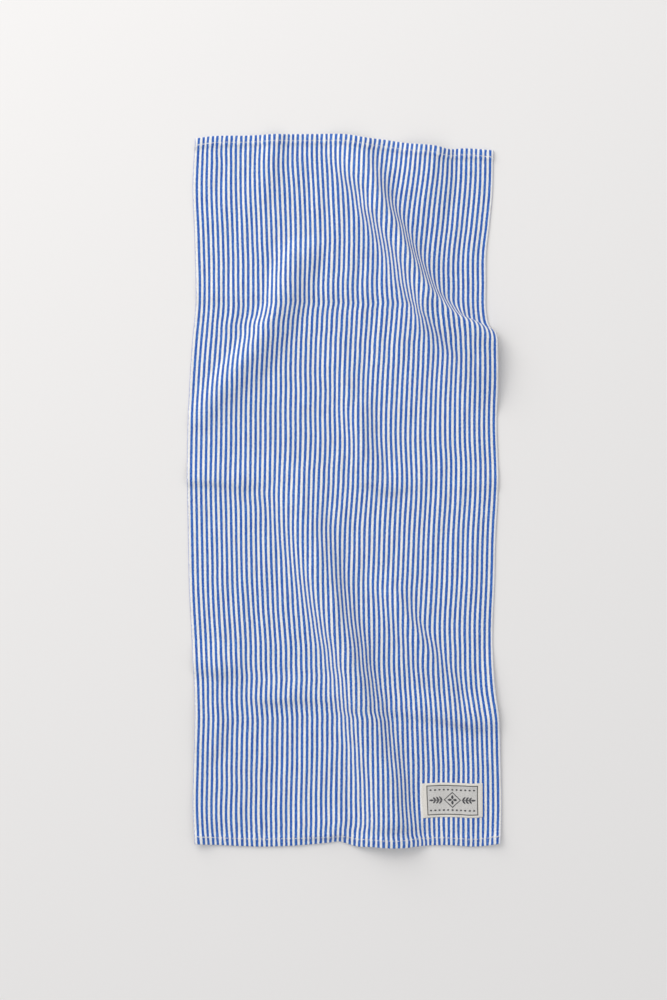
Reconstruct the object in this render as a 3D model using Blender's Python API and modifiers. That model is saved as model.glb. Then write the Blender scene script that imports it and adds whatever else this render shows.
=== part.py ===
"""A linen towel laid out flat, with the soft folds that it keeps after it has been shaken open.

Two pieces: the cloth, whose two short ends are turned and stitched as hems, and a woven label sewn near one
corner.

Sizes are in millimetres and turn to metres where a mesh is made. A place on the cloth is given by two
distances measured on the cloth itself: "across", from the left selvedge, and "along", from the top hem.
The towel lies on z = 0 with its length along Y, its top hem at +Y and its label towards +X.
"""

from collections import namedtuple

import bmesh
import bpy
import numpy as np

MM = 0.001
COLLECTION = "linen_towel"

# The finished cloth.
CLOTH_WIDTH = 350
CLOTH_LENGTH = 800
CLOTH_THICKNESS = 1.2
HEM_THICKNESS = 2.0
HEM_DEPTH = 10
HEM_SLOPE = 2

# The label, by its place on the cloth.
LABEL_WIDTH = 67
LABEL_HEIGHT = 38
LABEL_TO_SIDE = 21
LABEL_TO_HEM = 32
LABEL_THICKNESS = 1.0
PIECE_GAP = 0.3

# The mesh of the cloth: plain cells, and finer ones over the pressed creases.
CELLS_ACROSS = 46
CELL_ALONG = 12
CREASE_CELL = 6
LABEL_CELLS = (8, 5)

# A fold is a round ridge. Each row gives its section at one place along the cloth: the middle of its left
# and of its right flank, how far it rises, and how wide each flank is.
Section = namedtuple("Section", "along left right rise left_run right_run")

BIG_RIDGE = (
    Section(0, 158, 200, 4, 30, 28),
    Section(20, 164, 207, 7, 32, 28),
    Section(40, 173, 217, 13, 36, 30),
    Section(66, 191, 229, 18.5, 38, 34),
    Section(84, 198, 239, 20.5, 37, 36),
    Section(104, 209, 251, 22, 38, 39),
    Section(134, 226, 268, 24, 43, 40),
    Section(160, 240, 284, 24, 46, 42),
    Section(180, 252, 302, 25, 44, 44),
    Section(191, 257, 313, 24, 39, 43),
    Section(200, 262, 326, 22.5, 39, 46),
    Section(209, 267, 341, 21, 40, 54),
    Section(218, 273, 356, 19.5, 41, 60),
    Section(228, 281, 368, 17.5, 42, 56),
    Section(242, 292, 372, 15, 47, 46),
    Section(262, 308, 364, 12.5, 52, 30),
    Section(288, 328, 362, 6, 50, 28),
    Section(312, 345, 364, 0, 50, 28),
)
LEFT_RIDGE = (
    Section(115, 104, 142, 0, 28, 32),
    Section(134, 99, 137, 7, 28, 34),
    Section(160, 92, 127, 10, 28, 34),
    Section(200, 80, 114, 11, 30, 36),
    Section(235, 61, 98, 10.5, 32, 38),
    Section(265, 38, 76, 9, 34, 40),
    Section(300, 14, 50, 5, 30, 40),
    Section(335, -8, 30, 0, 30, 40),
)
MIDDLE_RIDGE = (
    Section(225, 146, 170, 0, 24, 24),
    Section(256, 153, 180, 3.5, 24, 24),
    Section(286, 163, 193, 6, 24, 24),
    Section(320, 178, 205, 8.5, 26, 24),
    Section(345, 184, 206, 9, 26, 26),
    Section(370, 190, 213, 6, 26, 30),
    Section(398, 196, 222, 0, 26, 30),
)
LONG_RIDGE = (
    Section(365, 74, 128, 0, 44, 40),
    Section(392, 86, 138, 4, 40, 38),
    Section(421, 99, 146, 9, 38, 36),
    Section(455, 113, 158, 12, 38, 36),
    Section(489, 125, 169, 15, 38, 36),
    Section(523, 136, 178, 17, 38, 37),
    Section(557, 146, 189, 19, 39, 38),
    Section(600, 160, 201, 20, 40, 38),
    Section(640, 169, 211, 18.5, 40, 37),
    Section(692, 181, 226, 16.5, 40, 36),
    Section(730, 191, 237, 16, 42, 34),
    Section(765, 195, 241, 14, 44, 32),
    Section(800, 196, 253, 11, 46, 36),
)
LOWER_RIDGE = (
    Section(490, 212, 236, 0, 24, 24),
    Section(515, 220, 249, 6, 24, 24),
    Section(540, 232, 259, 10, 32, 23),
    Section(573, 249, 279, 11, 32, 27),
    Section(607, 266, 300, 9, 34, 30),
    Section(640, 283, 314, 6, 34, 32),
    Section(675, 300, 332, 0, 34, 32),
)
HEM_PINCH = (
    Section(0, 246, 293, 8, 40, 24),
    Section(16, 247, 293, 8, 38, 24),
    Section(38, 251, 294, 6.5, 38, 26),
    Section(61, 258, 296, 4, 36, 30),
    Section(95, 262, 304, 0, 36, 34),
)
HEM_RIPPLE = (
    Section(0, 82, 103, 4.5, 24, 18),
    Section(20, 80, 102, 4.2, 26, 18),
    Section(60, 70, 94, 3, 28, 22),
    Section(95, 60, 84, 0, 28, 26),
)
# The selvedges lift a little: a ridge with one flank on the cloth and the other out past its edge.
LEFT_CURL = (
    Section(608, -40, 16, 0, 20, 20),
    Section(640, -40, 29, 3, 20, 20),
    Section(665, -40, 34, 4, 20, 19),
    Section(688, -40, 34, 3.2, 20, 20),
    Section(708, -40, 18, 2.4, 20, 20),
    Section(740, -40, 14, 3, 20, 20),
    Section(780, -40, 15, 4.2, 20, 22),
    Section(800, -40, 16, 4.4, 20, 24),
)
RIGHT_CURL = (
    Section(575, 339, 390, 0, 18, 20),
    Section(615, 338, 390, 3, 20, 20),
    Section(660, 335, 390, 3, 22, 20),
    Section(700, 339, 390, 1.5, 18, 20),
    Section(740, 341, 390, 1, 18, 20),
    Section(780, 338, 390, 2.2, 20, 20),
    Section(800, 336, 390, 3, 20, 20),
)
RIDGES = (
    BIG_RIDGE,
    LEFT_RIDGE,
    MIDDLE_RIDGE,
    LONG_RIDGE,
    LOWER_RIDGE,
    HEM_PINCH,
    HEM_RIPPLE,
    LEFT_CURL,
    RIGHT_CURL,
)

# The creases pressed in while the towel lay folded run across it. Each row gives a crest's place along the
# cloth, its height, and how far the cloth takes to fall off it, at one distance across. The climb is gentler.
CreasePoint = namedtuple("CreasePoint", "across along rise fall")
CREASE_CLIMB = 34

CREASES = (
    (
        CreasePoint(0, 180, 1.0, 10),
        CreasePoint(200, 180, 1.0, 10),
        CreasePoint(300, 180, 0, 10),
    ),
    (
        CreasePoint(0, 388, 3.7, 9),
        CreasePoint(40, 389, 3.4, 10),
        CreasePoint(60, 391, 3.6, 15),
        CreasePoint(84, 391, 1.1, 9),
        CreasePoint(196, 391, 1.1, 9),
        CreasePoint(224, 394, 4.2, 15),
        CreasePoint(250, 393, 1.5, 10),
        CreasePoint(350, 391, 1.6, 9),
    ),
    (
        CreasePoint(0, 598, 3.6, 18),
        CreasePoint(46, 599, 4.2, 20),
        CreasePoint(60, 600, 0, 20),
    ),
    (
        CreasePoint(56, 632, 0, 12),
        CreasePoint(78, 633, 3.0, 12),
        CreasePoint(140, 635, 2.6, 12),
        CreasePoint(168, 638, 0.9, 10),
        CreasePoint(232, 646, 2.0, 11),
        CreasePoint(280, 653, 4.4, 14),
        CreasePoint(328, 658, 5.0, 16),
        CreasePoint(350, 661, 2.0, 14),
    ),
    (
        CreasePoint(190, 776, 0, 10),
        CreasePoint(215, 776, 1.8, 9),
        CreasePoint(255, 776, 1.8, 9),
        CreasePoint(275, 776, 0, 10),
    ),
    (
        CreasePoint(100, 787, 0, 10),
        CreasePoint(130, 787, 2.6, 10),
        CreasePoint(165, 788, 4.4, 10),
        CreasePoint(182, 788, 0, 10),
    ),
)

# The outline as it lies. A row of a side gives how far out the selvedge lies at one place along the cloth,
# and a row of an end gives how far up the hem's edge lies at one distance across it.
EdgePoint = namedtuple("EdgePoint", "at place")

LEFT_SIDE = (
    EdgePoint(0, -164.7),
    EdgePoint(50, -167.3),
    EdgePoint(117, -165.2),
    EdgePoint(200, -164.9),
    EdgePoint(222, -167.2),
    EdgePoint(260, -169.9),
    EdgePoint(360, -173.5),
    EdgePoint(440, -172.7),
    EdgePoint(520, -170.8),
    EdgePoint(590, -167.3),
    EdgePoint(650, -164.8),
    EdgePoint(700, -166),
    EdgePoint(760, -167),
    EdgePoint(800, -164.9),
)
RIGHT_SIDE = (
    EdgePoint(0, 164.4),
    EdgePoint(50, 163.3),
    EdgePoint(85, 160.1),
    EdgePoint(120, 156.4),
    EdgePoint(150, 156.4),
    EdgePoint(188, 157.2),
    EdgePoint(196, 158.6),
    EdgePoint(204, 162),
    EdgePoint(212, 165.6),
    EdgePoint(220, 167.5),
    EdgePoint(234, 168.2),
    EdgePoint(250, 168.7),
    EdgePoint(275, 169),
    EdgePoint(320, 168.4),
    EdgePoint(385, 170),
    EdgePoint(450, 167),
    EdgePoint(505, 165.7),
    EdgePoint(550, 163.9),
    EdgePoint(600, 164.6),
    EdgePoint(625, 166.4),
    EdgePoint(655, 170.3),
    EdgePoint(700, 172),
    EdgePoint(760, 173.2),
    EdgePoint(800, 172.1),
)
TOP_END = (
    EdgePoint(0, 388.2),
    EdgePoint(15, 390.4),
    EdgePoint(60, 391.5),
    EdgePoint(125, 393.2),
    EdgePoint(180, 391.7),
    EdgePoint(197, 389),
    EdgePoint(215, 387.5),
    EdgePoint(250, 382.2),
    EdgePoint(280, 379.3),
    EdgePoint(296, 376.4),
    EdgePoint(315, 377.4),
    EdgePoint(350, 375.4),
)
BOTTOM_END = (
    EdgePoint(0, -387.6),
    EdgePoint(30, -389.1),
    EdgePoint(84, -390.8),
    EdgePoint(125, -388.8),
    EdgePoint(152, -386.4),
    EdgePoint(165, -385.2),
    EdgePoint(175, -388.2),
    EdgePoint(184, -390.3),
    EdgePoint(200, -390.2),
    EdgePoint(225, -391.1),
    EdgePoint(255, -389.9),
    EdgePoint(290, -389.2),
    EdgePoint(325, -390.6),
    EdgePoint(350, -387.2),
)
# The overtone evens a flank's slope, and no stretch of thread covers less than this share of its length.
OVERTONE = 0.02
LEAST_COVER = 0.2

# Base colour as a linear value, then roughness.
CLOTH_FINISH = ((0.48, 0.51, 0.63), 0.9)
LABEL_FINISH = ((0.74, 0.71, 0.65), 0.85)


def clear_scene():
    for obj in list(bpy.data.objects):
        bpy.data.objects.remove(obj)


def follow(table, start, column, places):
    """One column of a table as a cubic Hermite curve through its rows, read at each place."""
    rows = np.array([getattr(row, start) for row in table], float)
    values = np.array([getattr(row, column) for row in table], float)
    slopes = np.gradient(values, rows)
    row = np.clip(np.searchsorted(rows, places) - 1, 0, len(rows) - 2)
    gap = rows[row + 1] - rows[row]
    t = np.clip((places - rows[row]) / gap, 0, 1)
    from_value = (2 * t**3 - 3 * t**2 + 1) * values[row]
    from_slope = (t**3 - 2 * t**2 + t) * gap * slopes[row]
    to_value = (3 * t**2 - 2 * t**3) * values[row + 1]
    to_slope = (t**3 - t**2) * gap * slopes[row + 1]
    return from_value + from_slope + to_value + to_slope


def flank(distance):
    """A soft step from 0 to 1 over one flank, with an even slope in its middle: a sine and its overtone."""
    t = np.clip(distance, -0.5, 0.5)
    return 0.5 + (0.5 - OVERTONE) * np.sin(np.pi * t) - OVERTONE * np.sin(3 * np.pi * t)


def ridge_height(sections, across, along):
    """The height that one fold adds: up its left flank and down its right one."""

    def column(name):
        return follow(sections, "along", name, along)

    beyond = (along < sections[0].along) | (along > sections[-1].along)
    rise = np.where(beyond, 0, np.maximum(column("rise"), 0))
    up = flank((across - column("left")) / column("left_run"))
    down = flank((across - column("right")) / column("right_run"))
    return rise * (up - down)


def crease_height(points, across, along):
    """The height that one pressed crease adds: half a raised cosine up and half a shorter one down."""
    beyond = (across < points[0].across) | (across > points[-1].across)
    off_crest = along - follow(points, "across", "along", across)
    rise = np.where(beyond, 0, np.maximum(follow(points, "across", "rise", across), 0))
    fall = follow(points, "across", "fall", across)
    t = np.clip(off_crest / np.where(off_crest < 0, CREASE_CLIMB, fall), -1, 1)
    return rise * (0.5 + 0.5 * np.cos(np.pi * t))


def cloth_height(across, along):
    ridges = sum(ridge_height(sections, across, along) for sections in RIDGES)
    creases = sum(crease_height(points, across, along) for points in CREASES)
    return ridges + creases


def laid_share(height, axis):
    """How much of the laid size is used up at each point. Linen doesn't stretch, so a thread that climbs with
    a slope s covers only sqrt(1 - s * s) of its own length on the table."""
    slope = np.gradient(height, axis=axis)
    cover = np.sqrt(np.clip(1 - slope**2, LEAST_COVER**2, 1))
    run = np.cumsum(cover, axis) - (cover + cover.take([0], axis)) / 2
    return run / run.take([-1], axis)


def lay_cloth():
    """The underside of the whole cloth, point by point, one for each millimetre across and along."""
    across, along = np.meshgrid(np.arange(CLOTH_WIDTH + 1), np.arange(CLOTH_LENGTH + 1), indexing="ij")
    height = cloth_height(across, along)
    left = follow(LEFT_SIDE, "at", "place", along)
    right = follow(RIGHT_SIDE, "at", "place", along)
    top = follow(TOP_END, "at", "place", across)
    bottom = follow(BOTTOM_END, "at", "place", across)
    x = left + (right - left) * laid_share(height, 0)
    y = top + (bottom - top) * laid_share(height, 1)
    return np.stack([x, y, height], -1)


def centred(places):
    """The laid cloth moved so that its box is centred over the origin."""
    middle = (places.min((0, 1)) + places.max((0, 1))) / 2
    return places - [middle[0], middle[1], 0]


def lines_between(start, end, cells):
    return np.round(np.linspace(start, end, cells + 1)).astype(int)


def lines_along():
    """Lines along the cloth: even ones, one at each side of the hems' step, and finer ones at creases."""
    hems = [0, HEM_DEPTH, HEM_DEPTH + HEM_SLOPE]
    hems += [CLOTH_LENGTH - line for line in hems]
    inside = CLOTH_LENGTH - 2 * (HEM_DEPTH + HEM_SLOPE)
    even = lines_between(HEM_DEPTH + HEM_SLOPE, CLOTH_LENGTH - HEM_DEPTH - HEM_SLOPE, inside // CELL_ALONG)
    fine = set()
    for points in CREASES:
        first = min(point.along for point in points) - CREASE_CELL
        last = max(point.along for point in points) + CREASE_CELL
        fine |= set(range(first, last + 1, CREASE_CELL))
    spread = [line for line in even if all(abs(line - other) >= CREASE_CELL for other in fine)]
    return np.array(sorted(set(hems) | fine | set(spread)))


def material(name, finish):
    colour, roughness = finish
    made = bpy.data.materials.new(name)
    made.use_nodes = True
    shader = made.node_tree.nodes["Principled BSDF"]
    shader.inputs["Base Color"].default_value = (*colour, 1)
    shader.inputs["Roughness"].default_value = roughness
    shader.inputs["Metallic"].default_value = 0
    return made


def surface(name, places, across_lines, along_lines, finish, collection):
    """An open surface: a flat grid whose points are moved to the given lines of the laid cloth. Each point
    keeps its distance along the cloth in the attribute "along"."""
    mesh = bpy.data.meshes.new(name)
    grid = bmesh.new()
    kept = grid.verts.layers.float.new("along")
    cells_across = len(across_lines) - 1
    cells_along = len(along_lines) - 1
    bmesh.ops.create_grid(grid, x_segments=cells_across, y_segments=cells_along, size=0.5)
    for vertex in grid.verts:
        column = round((vertex.co.x + 0.5) * cells_across)
        row = round((0.5 - vertex.co.y) * cells_along)
        vertex.co = places[across_lines[column], along_lines[row]] * MM
        vertex[kept] = along_lines[row]
    # A cell is split along its longer diagonal, which runs with a fold and not over its crest.
    bmesh.ops.triangulate(grid, faces=grid.faces, quad_method="LONG_EDGE")
    grid.to_mesh(mesh)
    grid.free()
    mesh.shade_smooth()
    mesh.materials.append(material(name, finish))
    obj = bpy.data.objects.new(name, mesh)
    collection.objects.link(obj)
    return obj


def give_thickness(obj, thickness):
    """Solidify upwards, so that the surface stays the underside."""
    solid = obj.modifiers.new("thickness", "SOLIDIFY")
    solid.thickness = thickness * MM
    solid.offset = 1
    solid.use_even_offset = True
    solid.use_quality_normals = True
    return solid


def build_cloth(places, collection):
    """The whole towel as one sheet, thicker where the ends are turned under and stitched."""
    columns = lines_between(0, CLOTH_WIDTH, CELLS_ACROSS)
    cloth = surface("towel_cloth", places, columns, lines_along(), CLOTH_FINISH, collection)
    hems = cloth.vertex_groups.new(name="hems")
    for index, kept in enumerate(cloth.data.attributes["along"].data):
        if min(kept.value, CLOTH_LENGTH - kept.value) <= HEM_DEPTH:
            hems.add([index], 1, "REPLACE")
    solid = give_thickness(cloth, HEM_THICKNESS)
    solid.vertex_group = hems.name
    solid.thickness_vertex_group = CLOTH_THICKNESS / HEM_THICKNESS
    return cloth


def build_label(places, collection):
    """The label, on the flat cloth beside the long ridge and one gap above it."""
    left = CLOTH_WIDTH - LABEL_TO_SIDE - LABEL_WIDTH
    top = CLOTH_LENGTH - LABEL_TO_HEM - LABEL_HEIGHT
    raised = places + [0, 0, CLOTH_THICKNESS + PIECE_GAP]
    label = surface(
        "woven_label",
        raised,
        lines_between(left, left + LABEL_WIDTH, LABEL_CELLS[0]),
        lines_between(top, top + LABEL_HEIGHT, LABEL_CELLS[1]),
        LABEL_FINISH,
        collection,
    )
    give_thickness(label, LABEL_THICKNESS)
    return label


def main():
    clear_scene()
    collection = bpy.data.collections.new(COLLECTION)
    bpy.context.scene.collection.children.link(collection)
    places = centred(lay_cloth())
    build_cloth(places, collection)
    build_label(places, collection)


main()
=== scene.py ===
"""The looks of a linen towel laid out flat: striped cloth with two sewn hems, and a woven label by a corner.

Sizes are in millimetres and turn to metres where a mesh is made. A place on the cloth is given by two
distances measured on the cloth itself: "across", from the left selvedge, and "along", from the top hem. Both
short ends are turned under twice, so "yarn", the distance along a warp thread, runs past both ends into the
turned hems.
"""

import itertools
import math
from collections import namedtuple

import bpy
import numpy as np
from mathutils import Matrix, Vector


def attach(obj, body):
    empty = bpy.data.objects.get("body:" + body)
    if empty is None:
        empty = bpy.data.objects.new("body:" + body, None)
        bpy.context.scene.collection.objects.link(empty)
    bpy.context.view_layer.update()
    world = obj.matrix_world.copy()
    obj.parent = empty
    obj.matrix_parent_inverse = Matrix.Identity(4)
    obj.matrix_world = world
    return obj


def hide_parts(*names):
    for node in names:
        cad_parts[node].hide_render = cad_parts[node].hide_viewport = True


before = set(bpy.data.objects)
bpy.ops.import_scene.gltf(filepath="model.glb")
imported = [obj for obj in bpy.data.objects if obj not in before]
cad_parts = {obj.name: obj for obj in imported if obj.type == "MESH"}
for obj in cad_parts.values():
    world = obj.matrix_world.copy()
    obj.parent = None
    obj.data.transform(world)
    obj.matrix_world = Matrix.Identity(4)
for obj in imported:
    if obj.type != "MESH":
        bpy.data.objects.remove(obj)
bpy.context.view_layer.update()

MM = 0.001

# The finished cloth, and how its ends are turned: a hem and the edge tucked inside it, at each end. The top
# layer steps down from hem to body between two distances from the hem's inner side.
CLOTH_WIDTH = 350
CLOTH_LENGTH = 800
CLOTH_THICKNESS = 0.6
HEM_DEPTH = 10
TUCK_DEPTH = 8
LAYER_PITCH = 0.65
HEM_EASE = 0.5
HEM_STEP = (-1.2, 2)

# The stripes, dyed in the warp. The first blue one lies just inside the left selvedge.
STRIPE_PITCH = 5.5
STRIPE_WIDTH = 2.95
FIRST_STRIPE = 5.0

# The stitching: its thread, how high each stitch stands, how deep and how wide it draws the cloth in, and how
# far its ends stray. The thread starts a little in from each selvedge.
STITCH_PITCH = 3.2
STITCH_LENGTH = 2.8
THREAD_RADIUS = 0.33
STITCH_ARCH = 0.34
STITCH_SINK = 0.18
STITCH_DRAW = 0.35
STITCH_DRAW_REACH = 0.9
STITCH_STRAY = 0.08
STITCH_SLANT = 0.1
TOP_SEAM_TO_EDGE = 7.4
BOTTOM_SEAM_TO_EDGE = 8.4
SEAM_INSET = 1.5

# The thread is sewn over twice along the last stretch at each side: the second row is shifted by a share of a
# stitch, lies a little to one side, and ends nearer the selvedge.
BACKTACK = 18
BACKTACK_SHIFT = 0.45
BACKTACK_ASIDE = 0.45
BACKTACK_INSET = 0.5

# A stitch's mesh: rings of points round its line.
STITCH_RINGS = 6
RING_POINTS = 6
STITCH_POINTS = STITCH_RINGS * RING_POINTS

# The label, by its place on the cloth, how far it leans, its seam, and the frame line woven inside its
# border. It lies a little above the cloth. Its edge is folded under: it rises over the fold within FOLD_ROUND
# of its edge, and falls again between the two distances of FOLD_END. The seam draws it down.
LABEL_WIDTH = 67
LABEL_HEIGHT = 38.4
LABEL_TO_SIDE = 21.2
LABEL_TO_HEM = 31.8
LABEL_LEAN = 0.022
LABEL_THICKNESS = 0.5
LABEL_SEAM = 1.4
LABEL_STITCH_PITCH = 2.3
LABEL_STITCH_LENGTH = 1.9
FRAME_WIDTH = 55.8
FRAME_HEIGHT = 32.4
FRAME_LINE = 1.1
LABEL_GAP = 0.1
FOLD_RISE = 0.3
FOLD_ROUND = 0.8
FOLD_END = (4.6, 6.2)
LABEL_SEAM_DRAW = 0.2
LABEL_SEAM_REACH = 0.5

# The label's figure, woven a little proud of the tape. A row gives a leaf's root right of and above the
# label's middle, its heading in radians, and its length and width. The side leaves stand in pairs up a
# sprig's stem, each pair further out and shorter than the last. The dots are leaves too, short enough to look
# like small lozenges, in one row above and one below.
Leaf = namedtuple("Leaf", "x y heading long wide")

PETAL = Leaf(0.7, 0, 0, 4.6, 2.8)
STEM = Leaf(10.2, 0, 0, 12.5, 0.9)
TIP_LEAF = Leaf(20.6, 0, 0, 5.2, 2.1)
SIDE_LEAF = Leaf(11.4, 0, 0.9, 5.2, 1.9)
SIDE_LEAF_PAIRS = 3
SIDE_LEAF_PITCH = 3.6
SIDE_LEAF_SHRINK = 0.4
DOT = Leaf(-1.3, 11.4, 0, 2.6, 1.9)
DOT_PITCH = 4.8
DOTS_EACH_WAY = 5
LEAF_FULLNESS = 0.7
LEAF_TIP = 0.12
LEAF_ROWS = 9
LOZENGE_HALF_WIDTH = 9.0
LOZENGE_HALF_HEIGHT = 8.4
LOZENGE_STROKE = 1.3
LOZENGE_ROWS = 33
FIGURE_PROUD = 0.06
FIGURE_THICKNESS = 0.16

# The meshes of the cloth and the label. The cloth's rows stand closer over a hem, at these distances from its
# edge, and a turned hem has these numbers of rows in each layer and round its inner and outer turns.
CELLS_ACROSS = 168
CELL_ALONG = 3.2
ROWS_OVER_HEM = (2.6, 4.6, 5.9, 6.7, 7.6, 8.6, 9.8, 11.2)
ROWS_OVER_HEM_TO_BODY = 2
LAYER_ROWS = 4
INNER_TURN_ROWS = 4
OUTER_TURN_ROWS = 5
LABEL_COLUMNS = 103
LABEL_ROWS = 60

# How much a pattern of waves turns in a millimetre: a wave of the linen's weave spans two yarns, which lie
# about 15 to a centimetre, and one of the label's finer tape spans a rib.
YARN_PITCH = 0.6875
TAPE_RIB_PITCH = 0.6
YARN_TURN = math.pi / YARN_PITCH
TAPE_RIB_TURN = 2 * math.pi / TAPE_RIB_PITCH

# How deep the relief of the weaves is, how far a stripe's edge wavers, how soft the edges of stripes and of
# woven lines are, where the selvedge's own yarns end, and the size of the lumps in the colour of tape and
# threads.
YARN_RELIEF = 0.3
TAPE_RELIEF = 0.12
EDGE_WAVER = 0.7
STRIPE_BLUR = 0.2
LINE_BLUR = 0.15
SELVEDGE_END = (0.5, 0.9)
SPECKS_PER_MM = 1.1
FUZZ_SIZE = 1.2
COVER_SIZE = 0.9

# The noises that break up the linen's colour: how wide across and how long along the cloth their lumps are,
# and how fine their detail is. Yarns are 0.7 mm apart, so the flecks are drawn two or three yarns wide to
# show.
YARN_NOISES = (
    ("edge", 2.0, 2.4, 2.0),
    ("fleck", 1.6, 1.6, 2.0),
    ("slub", 1.5, 16.0, 2.0),
)

# The camera, the length that its picture takes in on the floor, and the light, in metres and watts. The
# sensor's size is in millimetres, as Blender has it.
CAMERA_PLACE = (-0.0118, -0.0105, 2.4)
PICTURE_LENGTH = 1.102
SENSOR_WIDTH = 36
FLOOR_REACH = 6.0
LIGHT_PLACE = (-1.6, 2.2, 1.6)
LIGHT_AIM = (0.1, -0.3, 0)
LIGHT_SIZE = 3.0
LIGHT_POWER = 72
LIGHT_COLOUR = (1.0, 0.985, 0.965)
SKY_COLOUR = (0.98, 0.99, 1.0, 1)
SKY_STRENGTH = 0.675

# A fold is a round ridge. Each row gives its section at one place along the cloth: the middle of its left
# and of its right flank, how far it rises, and how wide each flank is.
Section = namedtuple("Section", "along left right rise left_run right_run")

BIG_RIDGE = (
    Section(0, 158, 200, 4, 30, 28),
    Section(20, 164, 207, 7, 32, 28),
    Section(40, 173, 217, 13, 36, 30),
    Section(66, 191, 229, 18.5, 38, 34),
    Section(84, 198, 239, 20.5, 37, 36),
    Section(104, 209, 251, 22, 38, 39),
    Section(134, 226, 268, 24, 43, 40),
    Section(160, 240, 284, 24, 46, 42),
    Section(180, 252, 302, 25, 44, 44),
    Section(191, 257, 313, 24, 39, 43),
    Section(200, 262, 326, 22.5, 39, 46),
    Section(209, 267, 341, 21, 40, 54),
    Section(218, 273, 356, 19.5, 41, 60),
    Section(228, 281, 368, 17.5, 42, 56),
    Section(242, 292, 372, 15, 47, 46),
    Section(262, 308, 364, 12.5, 52, 30),
    Section(288, 328, 362, 6, 50, 28),
    Section(312, 345, 364, 0, 50, 28),
)
LEFT_RIDGE = (
    Section(115, 104, 142, 0, 28, 32),
    Section(134, 99, 137, 7, 28, 34),
    Section(160, 92, 127, 10, 28, 34),
    Section(200, 80, 114, 11, 30, 36),
    Section(235, 61, 98, 10.5, 32, 38),
    Section(265, 38, 76, 9, 34, 40),
    Section(300, 14, 50, 5, 30, 40),
    Section(335, -8, 30, 0, 30, 40),
)
MIDDLE_RIDGE = (
    Section(225, 146, 170, 0, 24, 24),
    Section(256, 153, 180, 3.5, 24, 24),
    Section(286, 163, 193, 6, 24, 24),
    Section(320, 178, 205, 8.5, 26, 24),
    Section(345, 184, 206, 9, 26, 26),
    Section(370, 190, 213, 6, 26, 30),
    Section(398, 196, 222, 0, 26, 30),
)
LONG_RIDGE = (
    Section(365, 74, 128, 0, 44, 40),
    Section(392, 86, 138, 4, 40, 38),
    Section(421, 99, 146, 9, 38, 36),
    Section(455, 113, 158, 12, 38, 36),
    Section(489, 125, 169, 15, 38, 36),
    Section(523, 136, 178, 17, 38, 37),
    Section(557, 146, 189, 19, 39, 38),
    Section(600, 160, 201, 20, 40, 38),
    Section(640, 169, 211, 18.5, 40, 37),
    Section(692, 181, 226, 16.5, 40, 36),
    Section(730, 191, 237, 16, 42, 34),
    Section(765, 195, 241, 14, 44, 32),
    Section(800, 196, 253, 11, 46, 36),
)
LOWER_RIDGE = (
    Section(490, 212, 236, 0, 24, 24),
    Section(515, 220, 249, 6, 24, 24),
    Section(540, 232, 259, 10, 32, 23),
    Section(573, 249, 279, 11, 32, 27),
    Section(607, 266, 300, 9, 34, 30),
    Section(640, 283, 314, 6, 34, 32),
    Section(675, 300, 332, 0, 34, 32),
)
HEM_PINCH = (
    Section(0, 246, 293, 8, 40, 24),
    Section(16, 247, 293, 8, 38, 24),
    Section(38, 251, 294, 6.5, 38, 26),
    Section(61, 258, 296, 4, 36, 30),
    Section(95, 262, 304, 0, 36, 34),
)
HEM_RIPPLE = (
    Section(0, 82, 103, 4.5, 24, 18),
    Section(20, 80, 102, 4.2, 26, 18),
    Section(60, 70, 94, 3, 28, 22),
    Section(95, 60, 84, 0, 28, 26),
)
# The selvedges lift a little: a ridge with one flank on the cloth and the other out past its edge.
LEFT_CURL = (
    Section(608, -40, 16, 0, 20, 20),
    Section(640, -40, 29, 3, 20, 20),
    Section(665, -40, 34, 4, 20, 19),
    Section(688, -40, 34, 3.2, 20, 20),
    Section(708, -40, 18, 2.4, 20, 20),
    Section(740, -40, 14, 3, 20, 20),
    Section(780, -40, 15, 4.2, 20, 22),
    Section(800, -40, 16, 4.4, 20, 24),
)
RIGHT_CURL = (
    Section(575, 339, 390, 0, 18, 20),
    Section(615, 338, 390, 3, 20, 20),
    Section(660, 335, 390, 3, 22, 20),
    Section(700, 339, 390, 1.5, 18, 20),
    Section(740, 341, 390, 1, 18, 20),
    Section(780, 338, 390, 2.2, 20, 20),
    Section(800, 336, 390, 3, 20, 20),
)
RIDGES = (
    BIG_RIDGE,
    LEFT_RIDGE,
    MIDDLE_RIDGE,
    LONG_RIDGE,
    LOWER_RIDGE,
    HEM_PINCH,
    HEM_RIPPLE,
    LEFT_CURL,
    RIGHT_CURL,
)

# The creases pressed in while the towel lay folded run across it. Each row gives a crest's place along the
# cloth, its height, and how far the cloth takes to fall off it, at one distance across. The climb up to it is
# longer, and the same for all.
CreasePoint = namedtuple("CreasePoint", "across along rise fall")
CREASE_CLIMB = 34

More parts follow.
